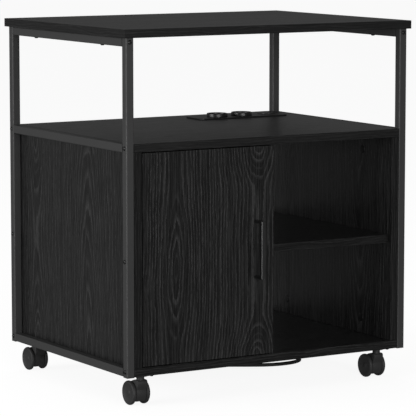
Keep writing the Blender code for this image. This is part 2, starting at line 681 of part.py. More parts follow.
def hood_mesh():
    """Swivelling body between the wheels: a wide drum on the axle, a shoulder, a neck and the swivel pin."""
    trail, axle = CASTER_TRAIL, WHEEL_RADIUS
    top = CASTER_HEIGHT - 0.0046
    lowest = math.degrees(math.asin((axle - HUB_BOTTOM) / HUB_RADIUS))
    drum = [(-0.0085, 0.0385), (-0.0095, 0.0420), (-0.0095, HUB_SHOULDER - 0.0015)]
    drum += [(-0.0080, HUB_SHOULDER), (0.0060, HUB_SHOULDER)]
    for step in range(15):
        angle = math.radians(80 - (80 + lowest) * step / 14)
        drum.append((trail + HUB_RADIUS * math.cos(angle), axle + HUB_RADIUS * math.sin(angle)))
    for step in range(7):
        angle = math.radians(180 + lowest - (20 + lowest) * step / 6)
        drum.append((trail + HUB_RADIUS * math.cos(angle), axle + HUB_RADIUS * math.sin(angle)))
    drum_mesh = outline_mesh("drum", [drum[::-1]], HUB_WIDTH)
    moved(drum_mesh, Matrix(((0, 0, 1, 0), (1, 0, 0, 0), (0, 1, 0, 0), (0, 0, 0, 1))))
    neck = cylinder_mesh("neck", 0.0070, HUB_SHOULDER - 0.004, top, "Z", 20)
    pin = cylinder_mesh("pin", 0.0038, top - 0.002, CASTER_HEIGHT - 0.0008, "Z", 12)
    axle_hole = cylinder_mesh("axle_hole", AXLE_RADIUS + 2 * GAP, -0.02, 0.02, "X", 12)
    moved(axle_hole, Matrix.Translation((0.0, trail, axle)))
    return joined_mesh("caster_hood", [drum_mesh, neck, pin], [axle_hole])


def caster_plate_mesh():
    """Mounting plate with its raceway; local Z is the height above the floor."""
    top, bottom = CASTER_HEIGHT - GAP, CASTER_HEIGHT - GAP - 0.002
    square = outline_mesh("square", [rounded_rectangle(CASTER_PLATE, CASTER_PLATE, 0.004)], 0.002)
    moved(square, Matrix.Translation((0.0, 0.0, (top + bottom) / 2)))
    race = cylinder_mesh("race", 0.0135, bottom - 0.0020, bottom + 0.001, "Z", 20)
    pin_hole = cylinder_mesh("pin_hole", 0.0042, bottom - 0.01, top + 0.01, "Z", 12)
    return joined_mesh("caster_plate", [square, race], [pin_hole])


def make_casters():
    plate, hood = caster_plate_mesh(), hood_mesh()
    wheels = {"left": wheel_mesh("wheel_left", -1), "right": wheel_mesh("wheel_right", 1)}
    axle_length = 2 * (WHEEL_INSIDE + WHEEL_WIDTH - BORE_WALL - GAP)
    axle = cylinder_mesh("caster_axle", AXLE_RADIUS, -axle_length / 2, axle_length / 2, "X", 16)
    for side, x in (("left", LEFT + CASTER_FROM_SIDE), ("right", RIGHT - CASTER_FROM_SIDE)):
        for end, y in (("front", FRONT + CASTER_FROM_END), ("rear", REAR - CASTER_FROM_END)):
            name = f"{end}_{side}_caster"
            add_object(f"{name}_plate", plate, PLATED_STEEL, (x, y, 0.0))
            pivot = add_pivot(f"{name}_swivel", (x, y, 0.0))
            add_object(f"{name}_hood", hood, BLACK_PLASTIC, (x, y, 0.0), pivot)
            on_axle = (x, y + CASTER_TRAIL, WHEEL_RADIUS)
            add_object(f"{name}_axle", axle, PLATED_STEEL, on_axle, pivot)
            for wheel_side, wheel in wheels.items():
                add_object(f"{name}_{wheel_side}_wheel", wheel, BLACK_PLASTIC, on_axle, pivot)


make_frame()
make_top_board()
make_carcass()
make_door()
make_station()
make_lead()
make_plug()
make_casters()
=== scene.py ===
"""Visual model of the mobile printer stand: materials, fine pieces and lead, around the CAD model.

Metres, in the CAD model's frame: +Z up, front towards -Y.
"""

import math

import bmesh
import bpy
from mathutils import Matrix, Vector


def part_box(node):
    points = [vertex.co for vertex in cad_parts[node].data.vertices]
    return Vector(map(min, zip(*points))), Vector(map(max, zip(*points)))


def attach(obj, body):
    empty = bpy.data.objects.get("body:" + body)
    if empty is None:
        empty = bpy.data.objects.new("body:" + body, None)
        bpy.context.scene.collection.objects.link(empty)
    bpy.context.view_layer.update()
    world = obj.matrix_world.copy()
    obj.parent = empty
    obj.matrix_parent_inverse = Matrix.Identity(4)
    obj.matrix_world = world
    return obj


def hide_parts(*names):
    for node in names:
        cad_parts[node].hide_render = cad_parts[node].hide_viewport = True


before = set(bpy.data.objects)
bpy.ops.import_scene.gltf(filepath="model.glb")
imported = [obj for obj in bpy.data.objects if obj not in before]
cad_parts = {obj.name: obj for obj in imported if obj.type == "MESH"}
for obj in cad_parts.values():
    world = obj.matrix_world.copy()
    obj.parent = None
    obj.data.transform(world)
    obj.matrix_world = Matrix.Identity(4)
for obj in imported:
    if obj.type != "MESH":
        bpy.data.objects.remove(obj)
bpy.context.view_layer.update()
collection = bpy.data.collections.new("printer_stand_looks")
bpy.context.scene.collection.children.link(collection)

CORNERS = ("front_left", "front_right", "rear_left", "rear_right")
LEFT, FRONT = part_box("front_left_post")[0].xy
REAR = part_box("rear_right_post")[1].y


def middle(node):
    low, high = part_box(node)
    return (low + high) / 2


# --- camera ---

CAMERA_PLACE = (-2.4263, -4.0102, 0.8996)
CAMERA_TURN = math.radians(31.156)  # from +Y towards +X
CAMERA_DIP = math.radians(7.124)
CAMERA_LENS = 220.48


def make_camera():
    camera = bpy.data.objects.new("camera", bpy.data.cameras.new("camera"))
    camera.data.lens = CAMERA_LENS
    camera.data.sensor_width = 36.0
    camera.data.clip_end = 100.0
    camera.location = CAMERA_PLACE
    camera.rotation_euler = (math.pi / 2 - CAMERA_DIP, 0.0, -CAMERA_TURN)
    bpy.context.scene.collection.objects.link(camera)
    bpy.context.scene.camera = camera


make_camera()


# --- materials ---

class Finish:
    """A material whose nodes are added one call at a time; the keywords are values of the shader's
    sockets."""

    def __init__(self, name, **values):
        self.material = bpy.data.materials.new(name)
        self.material.use_nodes = True
        self.tree = self.material.node_tree
        self.shader = self.tree.nodes["Principled BSDF"]
        for socket, value in values.items():
            self.shader.inputs[socket.replace("_", " ")].default_value = value
        coordinates = self.add("TexCoord")
        self.place = coordinates.outputs["Object"]
        self.normal = coordinates.outputs["Normal"]
        self.last_bump = None

    def add(self, kind, inputs=None, **settings):
        node = self.tree.nodes.new("ShaderNode" + kind)
        for key, value in settings.items():
            setattr(node, key, value)
        for key, value in (inputs or {}).items():
            if isinstance(value, bpy.types.NodeSocket):
                self.tree.links.new(value, node.inputs[key])
            else:
                node.inputs[key].default_value = value
        return node

    def math(self, operation, *values):
        return self.add("Math", dict(enumerate(values)), operation=operation).outputs[0]

    def split(self, vector):
        return self.add("SeparateXYZ", {0: vector}).outputs

    def join(self, *values):
        return self.add("CombineXYZ", dict(enumerate(values))).outputs[0]

    def noise(self, vector, scale, detail=2.0, roughness=0.5):
        inputs = {"Vector": vector, "Scale": scale, "Detail": detail, "Roughness": roughness}
        return self.add("TexNoise", inputs).outputs["Fac"]

    def between(self, value, low, high, at_low=0.0, at_high=1.0):
        """The value carried from one range to another, and kept in it."""
        inputs = {"Value": value, 1: low, 2: high, 3: at_low, 4: at_high}
        return self.add("MapRange", inputs).outputs[0]

    def blend(self, share, first, second):
        inputs = {0: share, 2: first, 3: second}
        return self.add("Mix", inputs, data_type="FLOAT").outputs[0]

    def grey(self, share, dark, light):
        """Base colour from dark to light grey."""
        level = self.between(share, 0.0, 1.0, dark, light)
        self.tree.links.new(self.join(level, level, level), self.shader.inputs["Base Color"])

    def rough(self, share, low, high):
        level = self.between(share, 0.0, 1.0, low, high)
        self.tree.links.new(level, self.shader.inputs["Roughness"])

    def bump(self, height, distance, strength=1.0):
        inputs = {"Height": height, "Distance": distance, "Strength": strength}
        if self.last_bump is not None:
            inputs["Normal"] = self.last_bump
        self.last_bump = self.add("Bump", inputs).outputs["Normal"]
        self.tree.links.new(self.last_bump, self.shader.inputs["Normal"])


RING_WIDTH = 0.0085  # between two growth lines of the oak at a cathedral's tip
LINE_WANDER = 0.010  # slow sideways wander of the growth lines, either way
LINE_RAGGED = 0.0022  # fine raggedness of their edges, either way
RIPPLE = 0.008  # change of a ring's radius along the grain
HEART_DRIFT = 0.004  # change of the heart's depth along the grain, either way
HEART_BLEND = 0.012  # over which the heart's depth eases into its limit
DEEPEST = 0.2  # limit for a heart that never comes near it
EDGE_FACING = 0.75  # share of the normal along an axis from which a face counts as an edge
OAK_DARK = 0.004


def oak(name, grain, across, figures, seed, centre=0.0, light=0.047, roughness=0.27):
    """Black oak veneer with its grain along one axis. Each figure is one cathedral: its place
    across the board, how much closer its lines lie beside the tip, how deep the heart lies under the face,
    as depth + slope * along + bow * along ** 2, and the deepest that it gets."""
    finish = Finish(name, Specular_IOR_Level=0.36)
    axes = dict(zip("XYZ", finish.split(finish.place)))
    face = dict(zip("XYZ", finish.split(finish.normal)))
    through = axes[(set("XYZ") - {grain, across}).pop()]
    on_end = finish.math("GREATER_THAN", finish.math("ABSOLUTE", face[grain]), EDGE_FACING)
    on_side = finish.math("GREATER_THAN", finish.math("ABSOLUTE", face[across]), EDGE_FACING)
    on_edge = finish.math("MAXIMUM", on_end, on_side)
    edge_place = finish.math("ADD", through, 0.37 + seed)
    along = finish.math("SUBTRACT", finish.blend(on_end, axes[grain], axes[across]), centre)
    sideways = finish.blend(on_edge, axes[across], edge_place)

    wander_place = finish.join(finish.math("MULTIPLY", along, 3.5), sideways, seed)
    wander = finish.noise(wander_place, 2.2, 1.0)
    ragged_place = finish.join(finish.math("MULTIPLY", along, 0.35), sideways, seed)
    ragged = finish.noise(ragged_place, 120.0, 2.0)
    wavy = finish.math("ADD", sideways, finish.between(wander, 0.0, 1.0, -LINE_WANDER, LINE_WANDER))
    wavy = finish.math("ADD", wavy, finish.between(ragged, 0.0, 1.0, -LINE_RAGGED, LINE_RAGGED))
    rings = None
    for number, (place, squeeze, depth, slope, bow, deepest) in enumerate(figures):
        drift = finish.noise(finish.join(along, 7.3 * number + seed, 0.0), 11.0, 1.0)
        heart = finish.math("MULTIPLY_ADD", along, bow, slope)
        heart = finish.math("MULTIPLY_ADD", along, heart, depth)
        drift = finish.between(drift, 0.0, 1.0, -HEART_DRIFT, HEART_DRIFT)
        heart = finish.math("ADD", heart, drift)
        heart = finish.math("SMOOTH_MIN", finish.math("ABSOLUTE", heart), deepest, HEART_BLEND)
        beside = finish.math("MULTIPLY", finish.math("SUBTRACT", wavy, place), squeeze)
        squares = finish.math("ADD", finish.math("POWER", beside, 2.0),
                              finish.math("POWER", heart, 2.0))
        radius = finish.math("SQRT", squares)
        rings = radius if rings is None else finish.math("MINIMUM", rings, radius)
    stretched = finish.join(finish.math("MULTIPLY", along, 0.05), sideways, through)
    ripple = finish.noise(stretched, 90.0, 2.0)
    counted = finish.math("DIVIDE", finish.math("MULTIPLY_ADD", ripple, RIPPLE, rings), RING_WIDTH)
    ring_number = finish.math("FLOOR", counted)
    phase = finish.math("FRACT", counted)
    boldness = finish.add("TexWhiteNoise", {"W": ring_number}, noise_dimensions="1D")
    boldness = boldness.outputs["Value"]
    rise = finish.between(phase, 0.0, 0.12)
    fall = finish.between(phase, 0.12, finish.between(boldness, 0.0, 1.0, 0.34, 0.62), 1.0, 0.0)
    line = finish.math("MULTIPLY", finish.math("MULTIPLY", rise, fall),
                       finish.between(boldness, 0.0, 1.0, 0.35, 1.0))
    fibre_place = finish.join(finish.math("MULTIPLY", along, 0.09), sideways, through)
    fibre = finish.noise(fibre_place, 950.0, 2.0)
    line = finish.math("MULTIPLY", line, finish.between(fibre, 0.34, 0.62, 0.25, 1.0))
    pores = finish.join(finish.math("MULTIPLY", along, 0.03), sideways, through)
    between_lines = finish.noise(pores, 420.0, 2.0)
    share = finish.math("ADD", line, finish.between(between_lines, 0.45, 0.70, 0.0, 0.42))
    share = finish.math("ADD", share, finish.between(fibre, 0.35, 0.75, 0.0, 0.16))
    share = finish.math("MULTIPLY", share, finish.between(on_edge, 0.0, 1.0, 1.0, 0.45))
    finish.grey(share, OAK_DARK, light)
    finish.rough(share, roughness, roughness + 0.15)
    finish.bump(finish.math("SUBTRACT", 1.0, share), 0.00022, 0.7)
    return finish.material


def powder_coat(name, dark, light):
    finish = Finish(name, Specular_IOR_Level=0.5)
    pebble = finish.noise(finish.place, 1400.0, 2.0)
    finish.grey(finish.noise(finish.place, 9.0, 3.0), dark, light)
    finish.rough(finish.noise(finish.place, 160.0, 2.0), 0.42, 0.58)
    finish.bump(pebble, 0.00006, 0.6)
    return finish.material


def moulded(name, dark, light, roughness, texture=1800.0, depth=0.00004, specular=0.5):
    """Moulded plastic or rubber: an even fine texture from the mould, with slightly worn patches."""
    finish = Finish(name, Specular_IOR_Level=specular)
    wear = finish.noise(finish.place, 45.0, 3.0, 0.6)
    finish.grey(wear, dark, light)
    finish.rough(wear, roughness - 0.07, roughness + 0.07)
    finish.bump(finish.noise(finish.place, texture, 2.0), depth, 0.7)
    return finish.material


def plated(name, dark, light, roughness):
    finish = Finish(name, Metallic=1.0)
    drift = finish.noise(finish.place, 120.0, 3.0, 0.6)
    finish.grey(drift, dark, light)
    finish.rough(finish.noise(finish.place, 700.0, 2.0), roughness - 0.08, roughness + 0.12)
    finish.bump(finish.noise(finish.place, 900.0, 1.0), 0.00002, 0.4)
    return finish.material


def hardboard(name):
    finish = Finish(name, Specular_IOR_Level=0.3)
    fibres = finish.noise(finish.place, 420.0, 4.0, 0.7)
    finish.grey(fibres, 0.008, 0.022)
    finish.rough(fibres, 0.55, 0.75)
    finish.bump(fibres, 0.00015, 0.6)
    return finish.material


def hook_tape(name):
    """Woven strap of the lead's tie."""
    finish = Finish(name, Specular_IOR_Level=0.2, Roughness=0.9)
    threads = {"Vector": finish.place, "Scale": 320.0}
    first, second = (
        finish.add("TexWave", threads, bands_direction=axis).outputs["Fac"] for axis in "XZ"
    )
    weave = finish.math("MULTIPLY", first, second)
    finish.grey(weave, 0.006, 0.030)
    finish.bump(weave, 0.0002, 0.8)
    return finish.material


POWDER = powder_coat("powder_coat_black", 0.038, 0.047)
HANDLE_METAL = plated("black_handle_metal", 0.085, 0.110, 0.30)
SCREW_BLACK = plated("screw_black_zinc", 0.040, 0.075, 0.36)
STEEL = plated("bright_plated_steel", 0.50, 0.68, 0.27)
ZINC = plated("black_zinc_plate", 0.040, 0.070, 0.42)
CONTACT = plated("plated_contacts", 0.12, 0.18, 0.45)
CABINET_PLASTIC = moulded("moulded_black_plastic", 0.006, 0.010, 0.42)
SOCKET_PLASTIC = moulded("socket_plastic", 0.005, 0.008, 0.34, 2600.0, 0.00002)
CASTER_PLASTIC = moulded("caster_plastic", 0.030, 0.038, 0.56, 900.0, 0.00004, 0.35)
RUBBER = moulded("lead_rubber", 0.008, 0.013, 0.55, 1300.0, 0.00005, 0.4)
HARDBOARD = hardboard("hardboard_black")
TIE_TAPE = hook_tape("tie_tape")

UPRIGHT_MIDDLE = middle("door").z
BOARD_LOOKS = {
    "top_board": oak(
        "oak_top", "X", "Y",
        [(-0.08, 1.7, 0.03, 0.10, 0.0, DEEPEST), (0.15, 1.7, 0.03, -0.14, 0.0, DEEPEST)],
        0.3, roughness=0.37),
    "middle_shelf": oak(
        "oak_shelf", "X", "Y",
        [(-0.12, 1.7, 0.03, -0.12, 0.0, DEEPEST), (0.12, 1.7, 0.04, 0.11, 0.0, DEEPEST)],
        1.9, roughness=0.34),
    # painted light: the same black oak with a lighter tone than the outer boards, standing in for light
    # that the inside of the cabinet does not get
    "bottom_panel": oak(
        "oak_bottom_painted_light", "X", "Y",
        [(-0.10, 1.7, 0.03, 0.12, 0.0, DEEPEST), (0.14, 1.7, 0.03, -0.10, 0.0, DEEPEST)],
        3.1, light=0.064),
    # painted light: the same black oak with a lighter tone than the outer boards, standing in for light
    # that the inside of the cabinet does not get
    "inner_shelf": oak(
        "oak_inner_shelf_painted_light", "X", "Y", [(0.02, 1.7, 0.03, 0.15, 0.0, DEEPEST)], 4.7, light=0.054),
    "left_side_panel": oak(
        "oak_left", "Z", "Y",
        [(-0.044, 1.5, 0.036, 0.17, 0.0, DEEPEST), (0.156, 1.5, 0.048, 0.0, -1.3, DEEPEST)],
        5.2, UPRIGHT_MIDDLE),
    # painted light: the same black oak with a lighter tone than the outer boards, standing in for light
    # that the inside of the cabinet does not get
    "right_side_panel": oak(
        "oak_right_painted_light", "Z", "Y",
        [(-0.11, 1.7, 0.040, -0.15, 0.0, DEEPEST), (0.12, 1.7, 0.02, 0.10, 0.5, DEEPEST)],
        6.6, UPRIGHT_MIDDLE, light=0.066),
    "centre_divider": oak(
        "oak_divider", "Z", "Y",
        [(-0.05, 1.7, 0.03, 0.13, 0.0, DEEPEST), (0.16, 1.7, 0.03, 0.10, 0.0, DEEPEST)],
        7.4, UPRIGHT_MIDDLE),
    "door": oak(
        "oak_door", "Z", "X",
        [(-0.196, 1.5, 0.0048, 0.26, 0.0, 0.034), (-0.026, 1.5, 0.078, 0.0, -2.1, 0.046)],
        8.8, UPRIGHT_MIDDLE),
}


def dress_nodes():
    """Gives every CAD node that stays the material that it shows."""
    looks = dict(BOARD_LOOKS)
    looks["back_panel"] = HARDBOARD
    looks["door_handle"] = HANDLE_METAL
    for corner in CORNERS:
        looks[f"{corner}_post"] = POWDER
        looks[f"{corner}_caster_plate"] = ZINC
        looks[f"{corner}_caster_axle"] = STEEL
    for side in ("left", "right"):
        for level in ("upper", "middle", "lower"):
            looks[f"{level}_{side}_rail"] = POWDER
        for end in ("front", "rear"):
            looks[f"shelf_pin_{end}_{side}"] = STEEL
    for level in ("lower", "upper"):
        looks[f"{level}_hinge_cup"] = STEEL
        looks[f"{level}_hinge_arm"] = STEEL
        looks[f"{level}_handle_screw"] = STEEL
    for node in ("station_housing", "station_cover", "usb_module"):
        looks[node] = CABINET_PLASTIC
    for node, look in looks.items():
        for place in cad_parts[node].material_slots:
            place.material = look


dress_nodes()


# --- mesh helpers ---

SHARP_ANGLE = math.radians(35)


def finished_mesh(bm, name):
    bmesh.ops.remove_doubles(bm, verts=bm.verts, dist=0.000001)
    bmesh.ops.recalc_face_normals(bm, faces=bm.faces)
    mesh = bpy.data.meshes.new(name)
    bm.to_mesh(mesh)
    bm.free()
    mesh.shade_smooth()
    mesh.set_sharp_from_angle(angle=SHARP_ANGLE)
    return mesh


def lathe(name, profile, sides=48):
    """A solid turned about local Z from (radius, height) points; a radius may be a function of the
    angle. The profile starts and ends on the axis, or is a closed loop off it."""
    bm = bmesh.new()
    rings = []
    for radius, height in profile:
        if radius == 0.0:
            rings.append([bm.verts.new((0.0, 0.0, height))])
            continue
        ring = []
        for step in range(sides):
            angle = 2 * math.pi * step / sides
            reach = radius(angle) if callable(radius) else radius
            ring.append(bm.verts.new((reach * math.cos(angle), reach * math.sin(angle), height)))
        rings.append(ring)
    if profile[0][0] != 0.0:
        rings.append(rings[0])
    for one, two in zip(rings, rings[1:]):
        for step in range(sides):
            following = (step + 1) % sides
            corners = [one[step % len(one)], one[following % len(one)],
                       two[following % len(two)], two[step % len(two)]]
            bm.faces.new(list(dict.fromkeys(corners)))
    return finished_mesh(bm, name)


def hexagon(apothem):
    """Radius of a hexagonal recess at an angle."""
    return lambda angle: apothem / math.cos((angle + math.pi / 6) % (math.pi / 3) - math.pi / 6)


def cross(reach, half_width):
    """Radius of a cross recess at an angle."""
    def radius(angle):
        turned = angle % (math.pi / 2)
        turned = min(turned, math.pi / 2 - turned)
        if math.tan(turned) * reach < half_width:
            return reach / math.cos(turned)
        return half_width / math.sin(turned)
    return radius


def soft_box(name, low, high, edge):
    """A box with its edges rounded."""
    bm = bmesh.new()
    low, high = Vector(low), Vector(high)
    made = bmesh.ops.create_cube(bm, size=1.0)["verts"]
    bmesh.ops.scale(bm, vec=high - low, verts=made)
    bmesh.ops.translate(bm, vec=(low + high) / 2, verts=made)
    bmesh.ops.bevel(bm, geom=list(bm.edges), offset=edge, segments=3, profile=0.5, affect="EDGES")
    return finished_mesh(bm, name)


def prism(name, outline, low, high, edge=0.0):
    """A flat outline given thickness along local Z, with its rims rounded."""
    bm = bmesh.new()
    bottom = bm.faces.new([bm.verts.new((x, y, low)) for x, y in outline])
    top = bmesh.ops.extrude_face_region(bm, geom=[bottom])["geom"]
    raised = [v for v in top if isinstance(v, bmesh.types.BMVert)]
    bmesh.ops.translate(bm, vec=(0, 0, high - low), verts=raised)
    if edge:
        rims = [e for e in bm.edges if abs(e.verts[0].co.z - e.verts[1].co.z) < 1e-7]
        bmesh.ops.bevel(bm, geom=rims, offset=edge, segments=3, profile=0.5, affect="EDGES")
    return finished_mesh(bm, name)


def copied(name, mesh, matrices):
    """One mesh with a copy of another at each matrix."""
    bm = bmesh.new()
    for matrix in matrices:
        start = len(bm.verts)
        bm.from_mesh(mesh)
        bm.verts.ensure_lookup_table()
        bmesh.ops.transform(bm, matrix=matrix, verts=bm.verts[start:])
    made = bpy.data.meshes.new(name)
    bm.to_mesh(made)
    bm.free()
    return made


def merged(name, meshes):
    bm = bmesh.new()
    for mesh in meshes:
        bm.from_mesh(mesh)
    made = bpy.data.meshes.new(name)
    bm.to_mesh(made)
    bm.free()
    return made


def combined(name, base, others, operation):
    """The base mesh joined with the others, or cut by them."""
    carrier = bpy.data.objects.new(name, base)
    collection.objects.link(carrier)
    helpers = []
    for other in others:
        helper = bpy.data.objects.new(name + "_tool", other)
        collection.objects.link(helper)
        helpers.append(helper)
        modifier = carrier.modifiers.new(helper.name, "BOOLEAN")
        modifier.operation = operation
        modifier.solver = "EXACT"
        modifier.object = helper
    bpy.context.view_layer.update()
    graph = bpy.context.evaluated_depsgraph_get()
    made = bpy.data.meshes.new_from_object(carrier.evaluated_get(graph))
    made.name = name
    for helper in [carrier] + helpers:
        bpy.data.objects.remove(helper, do_unlink=True)
    made.shade_smooth()
    made.set_sharp_from_angle(angle=SHARP_ANGLE)
    return made


def moved(mesh, matrix):
    mesh.transform(matrix)
    return mesh


def shifted(x=0.0, y=0.0, z=0.0):
    return Matrix.Translation((x, y, z))


def facing(place, direction, spin=0.0):
    """Matrix that puts local Z along a direction at a place."""
    turn = Vector(direction).to_track_quat("Z", "Y").to_matrix().to_4x4()
    return Matrix.Translation(place) @ turn @ Matrix.Rotation(spin, 4, "Z")


def piece(name, mesh, look, body, place=(0.0, 0.0, 0.0), stands_for=()):
    made = bpy.data.objects.new(name, mesh)
    collection.objects.link(made)
    made.data.materials.clear()
    made.data.materials.append(look)
    made.location = place
    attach(made, body)
    if stands_for:
        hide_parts(*stands_for)
    return made


# --- mains lead ---

CORD_RADIUS = 0.0035
LEAD_HEIGHT = middle("strain_relief").z
FLOOR_HEIGHT = CORD_RADIUS + 0.0003
LEAD_ROUTE = [  # from the frame's left face, from its front face, height above the floor
    (0.490, 0.4190, LEAD_HEIGHT),
    (0.490, 0.4360, LEAD_HEIGHT),
    (0.490, 0.4520, LEAD_HEIGHT),
    (0.490, 0.4675, LEAD_HEIGHT - 0.0042),
    (0.490, 0.4788, LEAD_HEIGHT - 0.0155),
    (0.490, 0.4830, LEAD_HEIGHT - 0.0310),
    (0.490, 0.4836, 0.330),
    (0.490, 0.4836, 0.220),
    (0.490, 0.4834, 0.110),
    (0.490, 0.4830, 0.0358),
    (0.490, 0.4787, 0.0198),
    (0.490, 0.4670, 0.0081),
    (0.490, 0.4510, FLOOR_HEIGHT),
    (0.491, 0.4000, FLOOR_HEIGHT),
    (0.5025, 0.3460, FLOOR_HEIGHT),
    (0.5150, 0.2900, FLOOR_HEIGHT),
    (0.5180, 0.2570, FLOOR_HEIGHT),
    (0.5110, 0.2350, FLOOR_HEIGHT),
    (0.4910, 0.2210, FLOOR_HEIGHT),
    (0.4620, 0.2165, FLOOR_HEIGHT),
    (0.4310, 0.2220, FLOOR_HEIGHT),
    (0.4030, 0.2360, FLOOR_HEIGHT),
    (0.3770, 0.2515, FLOOR_HEIGHT),
    (0.3560, 0.2635, FLOOR_HEIGHT),
    (0.3355, 0.2775, FLOOR_HEIGHT),
    (0.3205, 0.2940, FLOOR_HEIGHT),
    (0.3130, 0.3105, FLOOR_HEIGHT),
    (0.3110, 0.3274, FLOOR_HEIGHT),
    (0.3144, 0.3475, FLOOR_HEIGHT),
]
COIL_CENTRE = middle("lead_coil").xy
OUTER_TURN, INNER_TURN = 0.0395, 0.0324
LAYER = 0.0071  # between the cords on the floor and the cords on top of them
COIL_START, COIL_END, COIL_STEP = -10, 1170, 20  # degrees, anticlockwise from +X
TIE_ANGLE = 20
TIE_ROOM = 0.0005  # the coil lies on its tie, and so a little above the floor
CORD_INTO_PLUG = 0.012
PIN_FROM_MIDDLE = 0.0095  # of the plug and of the sockets


def smooth_step(value, start, end):
    share = min(1.0, max(0.0, (value - start) / (end - start)))
    return share * share * (3 - 2 * share)


def coil_point(degrees):
    """Radius and height of the cord in the coil: outside and inside on the floor, then inside and
    outside on top."""
    inside = smooth_step(degrees, 290, 350) - smooth_step(degrees, 890, 950)
    radius = OUTER_TURN - (OUTER_TURN - INNER_TURN) * inside
    low = FLOOR_HEIGHT + TIE_ROOM * smooth_step(degrees, -10, 15)
    top = low + LAYER
    height = low + LAYER * smooth_step(degrees, 600, 670)
    height += (middle("mains_plug").z - top) * smooth_step(degrees, 1110, 1195)
    return radius, height


def coil_place(degrees):
    radius, height = coil_point(degrees)
    angle = math.radians(degrees)
    return Vector((COIL_CENTRE.x + radius * math.cos(angle),
                   COIL_CENTRE.y + radius * math.sin(angle), height))


def cord_points():
    points = [Vector((LEFT + x, FRONT + y, z)) for x, y, z in LEAD_ROUTE]
    points += [coil_place(degrees) for degrees in range(COIL_START, COIL_END + 1, COIL_STEP)]
    plug_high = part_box("mains_plug")[1]
    sleeve = Vector((plug_high.x, COIL_CENTRE.y + OUTER_TURN, middle("mains_plug").z))
    points.append(sleeve)
    points.append(sleeve - Vector((CORD_INTO_PLUG, 0.0, 0.0)))
    return points


def make_cord():
    curve = bpy.data.curves.new("mains_lead_cord", "CURVE")
    curve.dimensions = "3D"
    curve.bevel_depth = CORD_RADIUS
    curve.bevel_resolution = 6
    curve.resolution_u = 8
    curve.use_fill_caps = True
    points = cord_points()
    spline = curve.splines.new("BEZIER")
    spline.bezier_points.add(len(points) - 1)
    ends = [2 * points[0] - points[1]] + points + [2 * points[-1] - points[-2]]
    for knot, before, place, after in zip(spline.bezier_points, ends, ends[1:], ends[2:]):
        into, out = (place - before).length ** 0.5, (after - place).length ** 0.5
        slope = (place - before) / into - (after - before) / (into + out) + (after - place) / out
        if place.z < FLOOR_HEIGHT + 0.0001:
            slope.z = 0.0
        knot.handle_left_type = knot.handle_right_type = "FREE"
        knot.co = place
        knot.handle_left = place - slope * into / 3
        knot.handle_right = place + slope * out / 3
    curve.materials.append(RUBBER)
    cord = bpy.data.objects.new("mains_lead_cord", curve)
    collection.objects.link(cord)
    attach(cord, "carcass")
    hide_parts("mains_lead", "lead_coil")
    return cord, points


def band_outline(centres, reach, steps=6):
    """Outline of a band pulled round cords whose centres are given anticlockwise."""
    outline = []
    for number, centre in enumerate(centres):
        before, after = centres[number - 1], centres[(number + 1) % len(centres)]
        into, out = (centre - before).normalized(), (after - centre).normalized()
        start = math.atan2(-into.x, into.y)
        turn = math.atan2(into.cross(out), into.dot(out))
        for step in range(steps + 1):
            angle = start + turn * step / steps
            outline.append(centre + reach * Vector((math.cos(angle), math.sin(angle))))
    return outline


def make_tie():
    """Strap round the cords of the coil."""
    places = [Vector(coil_point(TIE_ANGLE + 360 * turn)) for turn in (1, 0, 3, 2)]
    inner = band_outline(places, CORD_RADIUS + 0.00005)
    outer = band_outline(places, CORD_RADIUS + TIE_ROOM)
    bm = bmesh.new()
    slices = []
    half_width, cuts = 0.005, 6
    for cut in range(cuts + 1):
        along = half_width * (2 * cut / cuts - 1)
        angle = math.radians(TIE_ANGLE) + along / OUTER_TURN
        rings = []
        for outline in (inner, outer):
            rings.append([
                bm.verts.new((p.x * math.cos(angle), p.x * math.sin(angle), p.y)) for p in outline
            ])
        slices.append(rings)
    count = len(inner)
    for near, far in zip(slices, slices[1:]):
        for layer in (0, 1):
            for i in range(count):
                j = (i + 1) % count
                bm.faces.new((near[layer][i], near[layer][j], far[layer][j], far[layer][i]))
    for rings in (slices[0], slices[-1]):
        for i in range(count):
            j = (i + 1) % count
            bm.faces.new((rings[0][i], rings[0][j], rings[1][j], rings[1][i]))
    return piece("lead_tie", finished_mesh(bm, "lead_tie"), TIE_TAPE, "carcass",
                 (COIL_CENTRE.x, COIL_CENTRE.y, 0.0))


